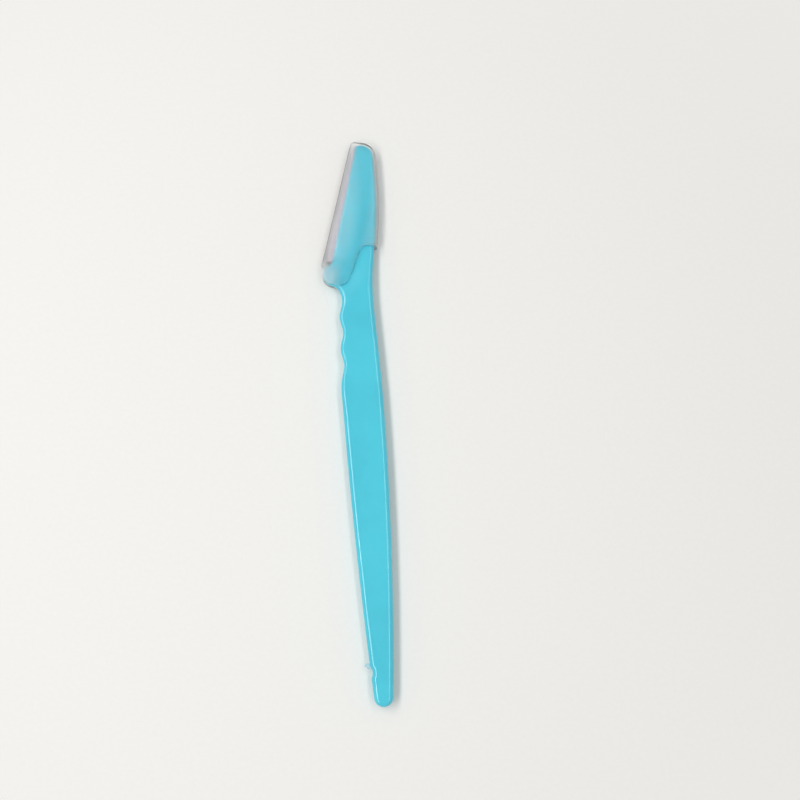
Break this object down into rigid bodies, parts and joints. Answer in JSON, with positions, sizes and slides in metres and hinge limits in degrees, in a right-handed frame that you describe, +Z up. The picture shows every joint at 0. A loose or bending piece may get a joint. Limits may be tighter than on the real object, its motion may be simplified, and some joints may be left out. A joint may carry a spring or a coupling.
{
  "type": "eyebrow razor",
  "caption": "Slim eyebrow razor with a tapered flat handle, finger scallops, an angled blade behind a comb guard and a frosted slide-off cap.",
  "frame": {"origin": "on the flat underside of the handle, on its centre line, at the widest place of the grip", "axes": "+Z up out of the upper broad face, +Y from the tail to the head, the cutting edge faces -X"},
  "size_m": [0.0167, 0.1502, 0.0042],
  "materials": {
    "handle": "smooth moulded",
    "blade": "ground",
    "guard": "bright rolled sheet",
    "cap": "frosted, see-through"
  },
  "bodies": {
    "razor": {"handle": "handle", "blade": "blade", "safety_guard": "guard"},
    "cap": {"cap": "cap"}
  },
  "joints": [
    {"name": "cap_slide", "type": "slide", "parent": "razor", "child": "cap", "axis": [0.2857, 0.9583, 0], "range_m": [0, 0.045]}
  ]
}
